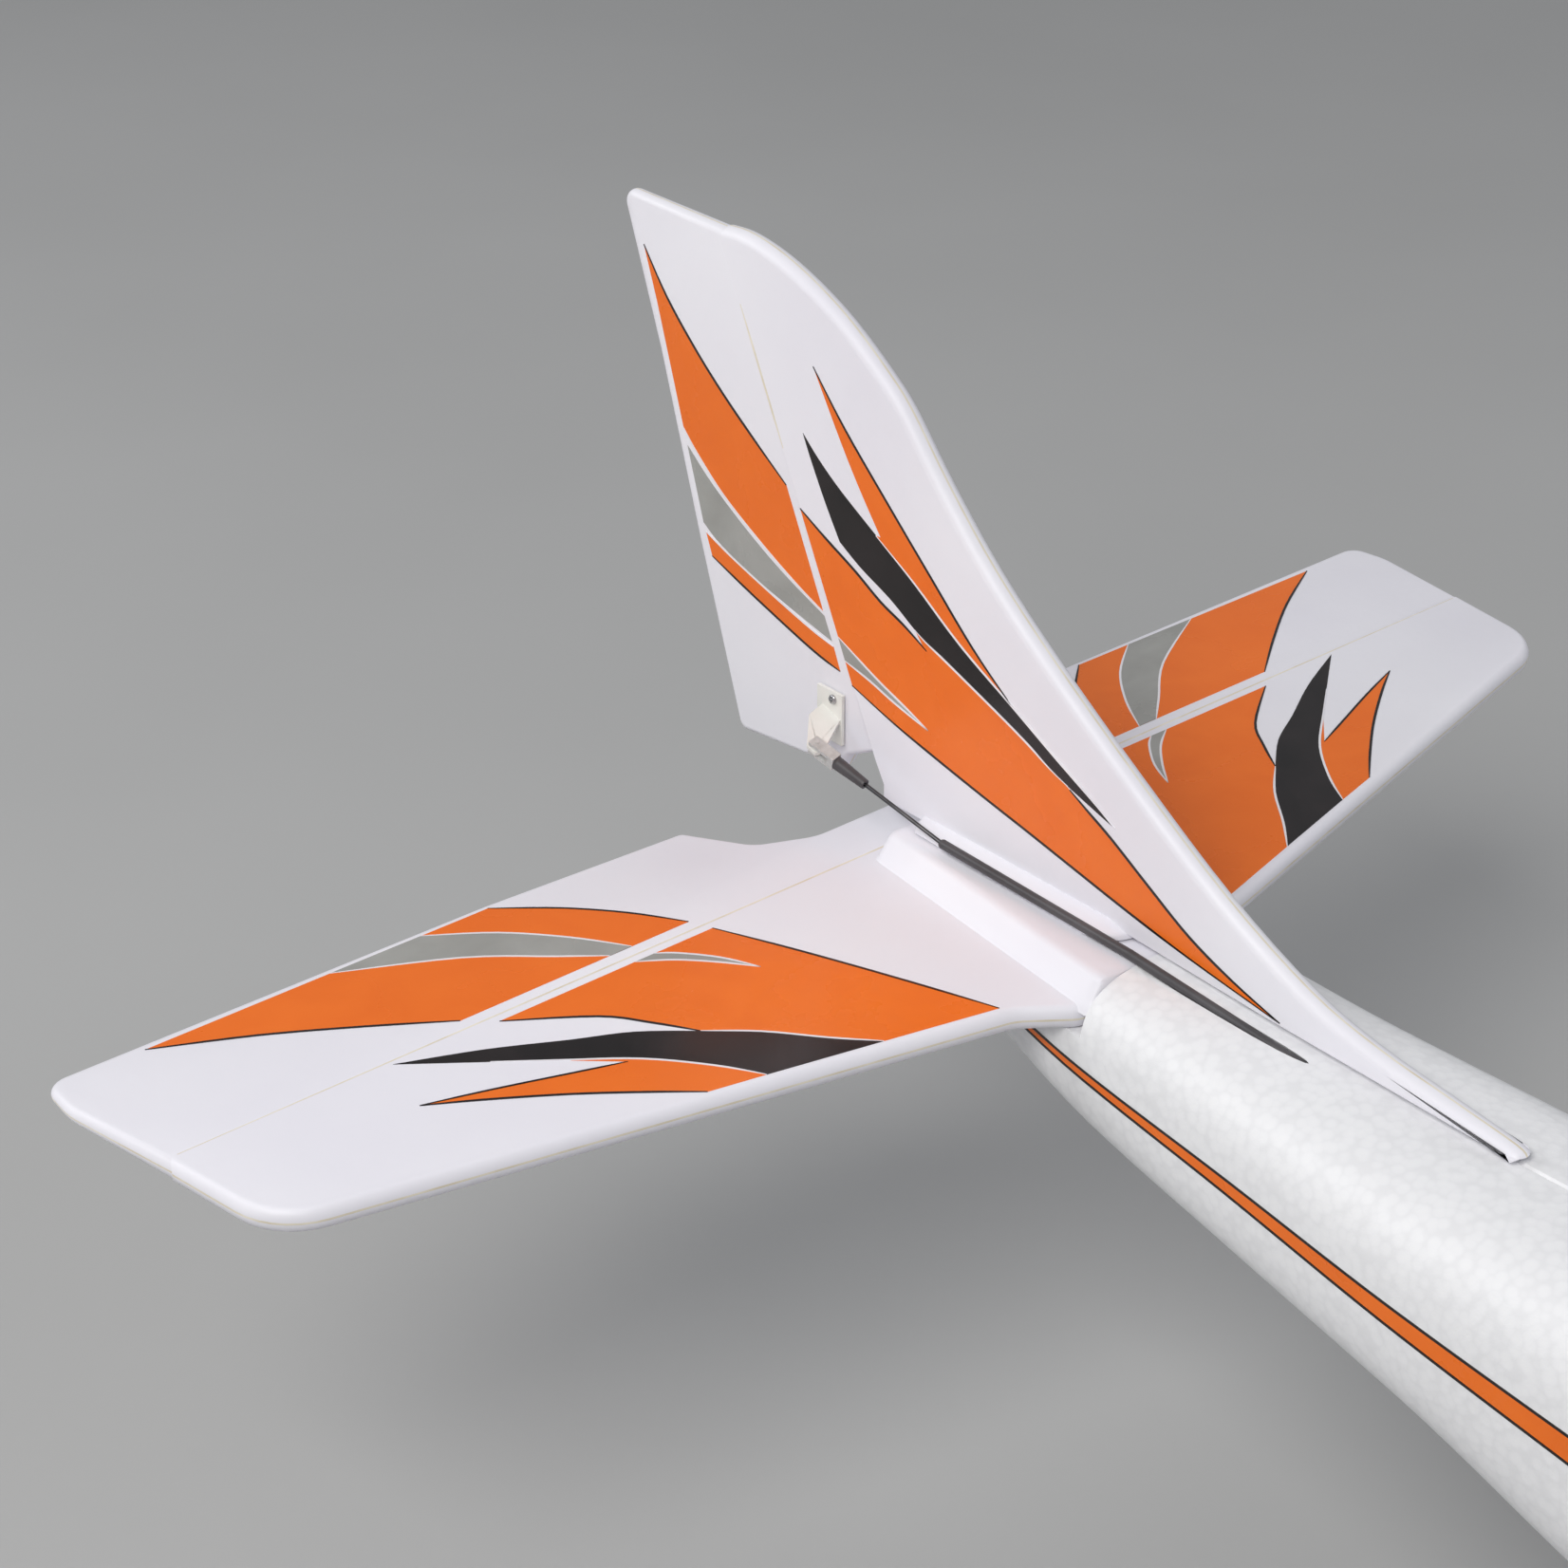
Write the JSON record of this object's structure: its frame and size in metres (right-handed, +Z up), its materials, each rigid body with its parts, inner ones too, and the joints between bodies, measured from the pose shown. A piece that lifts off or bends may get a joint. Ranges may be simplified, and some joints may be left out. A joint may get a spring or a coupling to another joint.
{
  "type": "radio controlled trainer aeroplane",
  "caption": "High-wing foam model aeroplane with a nose propeller, hinged tail and wing surfaces worked by pushrods, and steerable three-wheel undercarriage.",
  "frame": {"origin": "centre of the footprint, on the ground under the wheels", "axes": "nose towards -Y, tail towards +Y, port wing towards +X, +Z up"},
  "size_m": [1.5, 1.0786, 0.3904],
  "materials": {
    "fuselage_left": "matte",
    "fuselage_right": "matte",
    "firewall": "matte",
    "motor_stator": "satin",
    "battery": "satin",
    "battery_strap": "matte",
    "speed_controller": "satin",
    "receiver": "satin",
    "servo_tray": "matte",
    "elevator_servo": "satin",
    "rudder_servo": "satin",
    "wing_left": "matte",
    "wing_right": "matte",
    "wing_joiner": "satin",
    "wing_screws": "satin",
    "aileron_servo_left": "satin",
    "aileron_servo_right": "satin",
    "stabilizer": "matte",
    "fin": "matte",
    "tail_screws": "satin",
    "rudder_sleeve": "satin",
    "elevator_sleeve": "satin",
    "gear_block": "matte",
    "main_gear_wire": "satin",
    "main_wheel_collars": "satin",
    "nose_gear_bracket": "satin",
    "hatch": "matte",
    "motor_can": "satin",
    "prop_shaft": "satin",
    "propeller": "satin",
    "spinner": "gloss",
    "rudder": "matte",
    "rudder_horn": "satin",
    "rudder_pushrod": "satin",
    "rudder_clevis": "satin",
    "rudder_clevis_keeper": "satin",
    "elevator": "matte",
    "elevator_horn": "satin",
    "elevator_pushrod": "satin",
    "elevator_clevis": "satin",
    "rudder_servo_arm": "satin",
    "elevator_servo_arm": "satin",
    "aileron_left": "matte",
    "aileron_horn_left": "satin",
    "aileron_right": "matte",
    "aileron_horn_right": "satin",
    "aileron_pushrod_left": "satin",
    "aileron_pushrod_right": "satin",
    "aileron_arm_left": "satin",
    "aileron_arm_right": "satin",
    "nose_gear_leg": "satin",
    "steering_arm": "satin",
    "nose_wheel_collars": "satin",
    "steering_pushrod": "satin",
    "nose_tyre": "matte",
    "nose_hub": "satin",
    "left_tyre": "matte",
    "left_hub": "satin",
    "right_tyre": "matte",
    "right_hub": "satin"
  },
  "bodies": {
    "airframe": {"fuselage_left": "fuselage_left", "fuselage_right": "fuselage_right", "firewall": "firewall", "motor_stator": "motor_stator", "battery": "battery", "battery_strap": "battery_strap", "speed_controller": "speed_controller", "receiver": "receiver", "servo_tray": "servo_tray", "elevator_servo": "elevator_servo", "rudder_servo": "rudder_servo", "wing_left": "wing_left", "wing_right": "wing_right", "wing_joiner": "wing_joiner", "wing_screws": "wing_screws", "aileron_servo_left": "aileron_servo_left", "aileron_servo_right": "aileron_servo_right", "stabilizer": "stabilizer", "fin": "fin", "tail_screws": "tail_screws", "rudder_sleeve": "rudder_sleeve", "elevator_sleeve": "elevator_sleeve", "gear_block": "gear_block", "main_gear_wire": "main_gear_wire", "main_wheel_collars": "main_wheel_collars", "nose_gear_bracket": "nose_gear_bracket"},
    "battery_hatch": {"hatch": "hatch"},
    "prop_unit": {"motor_can": "motor_can", "prop_shaft": "prop_shaft", "propeller": "propeller", "spinner": "spinner"},
    "rudder": {"rudder": "rudder", "rudder_horn": "rudder_horn"},
    "rudder_link": {"rudder_pushrod": "rudder_pushrod", "rudder_clevis": "rudder_clevis", "rudder_clevis_keeper": "rudder_clevis_keeper"},
    "elevator": {"elevator": "elevator", "elevator_horn": "elevator_horn"},
    "elevator_link": {"elevator_pushrod": "elevator_pushrod", "elevator_clevis": "elevator_clevis"},
    "rudder_arm": {"rudder_servo_arm": "rudder_servo_arm"},
    "elevator_arm": {"elevator_servo_arm": "elevator_servo_arm"},
    "left_aileron": {"aileron_left": "aileron_left", "aileron_horn_left": "aileron_horn_left"},
    "right_aileron": {"aileron_right": "aileron_right", "aileron_horn_right": "aileron_horn_right"},
    "left_aileron_link": {"aileron_pushrod_left": "aileron_pushrod_left"},
    "right_aileron_link": {"aileron_pushrod_right": "aileron_pushrod_right"},
    "left_aileron_arm": {"aileron_arm_left": "aileron_arm_left"},
    "right_aileron_arm": {"aileron_arm_right": "aileron_arm_right"},
    "nose_gear": {"nose_gear_leg": "nose_gear_leg", "steering_arm": "steering_arm", "nose_wheel_collars": "nose_wheel_collars"},
    "steering_link": {"steering_pushrod": "steering_pushrod"},
    "nose_wheel": {"nose_tyre": "nose_tyre", "nose_hub": "nose_hub"},
    "left_wheel": {"left_tyre": "left_tyre", "left_hub": "left_hub"},
    "right_wheel": {"right_tyre": "right_tyre", "right_hub": "right_hub"}
  },
  "joints": [
    {"name": "prop_spin", "type": "hinge", "parent": "airframe", "child": "prop_unit", "pos_m": [0, -0.4984, 0.172], "axis": [0, 1, 0], "continuous": true},
    {"name": "rudder_hinge", "type": "hinge", "parent": "airframe", "child": "rudder", "pos_m": [0, 0.4117, 0.2285], "axis": [0, 0.4384, 0.8988], "range_deg": [-25, 25]},
    {"name": "rudder_link_pivot", "type": "hinge", "parent": "rudder", "child": "rudder_link", "pos_m": [-0.018, 0.4228, 0.233], "axis": [-0.1883, -0.296, 0.9364], "range_deg": [-16, 16], "deforming": ["rudder_pushrod"]},
    {"name": "elevator_hinge", "type": "hinge", "parent": "airframe", "child": "elevator", "pos_m": [0, 0.398, 0.201], "axis": [1, 0, 0], "range_deg": [-22, 22]},
    {"name": "elevator_link_pivot", "type": "hinge", "parent": "elevator", "child": "elevator_link", "pos_m": [0.024, 0.3986, 0.183], "axis": [1, 0, 0], "range_deg": [-23, 23], "deforming": ["elevator_pushrod"]},
    {"name": "rudder_servo_turn", "type": "hinge", "parent": "airframe", "child": "rudder_arm", "pos_m": [-0.02, 0.0029, 0.164], "axis": [0, 0, 1], "range_deg": [-26, 26]},
    {"name": "elevator_servo_turn", "type": "hinge", "parent": "airframe", "child": "elevator_arm", "pos_m": [0.02, 0.0029, 0.164], "axis": [0, 0, 1], "range_deg": [-23, 23]},
    {"name": "left_aileron_hinge", "type": "hinge", "parent": "airframe", "child": "left_aileron", "pos_m": [0.32901, -0.141, 0.24124], "axis": [0.9984, 0, 0.0567], "range_deg": [-20, 20]},
    {"name": "left_aileron_servo_turn", "type": "hinge", "parent": "airframe", "child": "left_aileron_arm", "pos_m": [0.41887, -0.232, 0.24634], "axis": [0.9981, 0, 0.061], "range_deg": [-21, 21]},
    {"name": "left_aileron_link_pivot", "type": "hinge", "parent": "left_aileron", "child": "left_aileron_link", "pos_m": [0.41997, -0.141, 0.22837], "axis": [0.9981, 0, 0.061], "range_deg": [-21, 21]},
    {"name": "right_aileron_hinge", "type": "hinge", "parent": "airframe", "child": "right_aileron", "pos_m": [-0.32901, -0.141, 0.24124], "axis": [0.9984, 0, -0.0567], "range_deg": [-20, 20]},
    {"name": "right_aileron_servo_turn", "type": "hinge", "parent": "airframe", "child": "right_aileron_arm", "pos_m": [-0.41887, -0.232, 0.24634], "axis": [0.9981, 0, -0.061], "range_deg": [-21, 21]},
    {"name": "right_aileron_link_pivot", "type": "hinge", "parent": "right_aileron", "child": "right_aileron_link", "pos_m": [-0.41997, -0.141, 0.22837], "axis": [0.9981, 0, -0.061], "range_deg": [-21, 21]},
    {"name": "nose_gear_steer", "type": "hinge", "parent": "airframe", "child": "nose_gear", "pos_m": [0, -0.44, 0.15], "axis": [0, 0, 1], "range_deg": [-26, 26]},
    {"name": "steering_link_slide", "type": "slide", "parent": "airframe", "child": "steering_link", "axis": [0, 1, 0], "range_m": [-0.0085, 0.0085], "deforming": ["steering_pushrod"]},
    {"name": "nose_wheel_spin", "type": "hinge", "parent": "nose_gear", "child": "nose_wheel", "pos_m": [0, -0.44, 0.03], "axis": [1, 0, 0], "continuous": true},
    {"name": "left_wheel_spin", "type": "hinge", "parent": "airframe", "child": "left_wheel", "pos_m": [0.15, -0.15, 0.035], "axis": [1, 0, 0], "continuous": true},
    {"name": "right_wheel_spin", "type": "hinge", "parent": "airframe", "child": "right_wheel", "pos_m": [-0.15, -0.15, 0.035], "axis": [1, 0, 0], "continuous": true},
    {"name": "hatch_hinge", "type": "hinge", "parent": "airframe", "child": "battery_hatch", "pos_m": [0, -0.4235, 0.2136], "axis": [1, 0, 0], "range_deg": [0, 70]}
  ],
  "couplings": [
    {"joint": "rudder_link_pivot", "follows": "rudder_hinge", "ratio": -0.5856},
    {"joint": "rudder_servo_turn", "follows": "rudder_hinge", "ratio": 1},
    {"joint": "nose_gear_steer", "follows": "rudder_hinge", "ratio": -1},
    {"joint": "steering_link_slide", "follows": "rudder_hinge", "m_per_rad": 0.0178},
    {"joint": "elevator_link_pivot", "follows": "elevator_hinge", "ratio": -0.997},
    {"joint": "elevator_servo_turn", "follows": "elevator_hinge", "ratio": 1},
    {"joint": "left_aileron_servo_turn", "follows": "left_aileron_hinge", "ratio": 1},
    {"joint": "left_aileron_link_pivot", "follows": "left_aileron_hinge", "ratio": -1},
    {"joint": "right_aileron_hinge", "follows": "left_aileron_hinge", "ratio": -1},
    {"joint": "right_aileron_servo_turn", "follows": "left_aileron_hinge", "ratio": -1},
    {"joint": "right_aileron_link_pivot", "follows": "left_aileron_hinge", "ratio": 1}
  ]
}
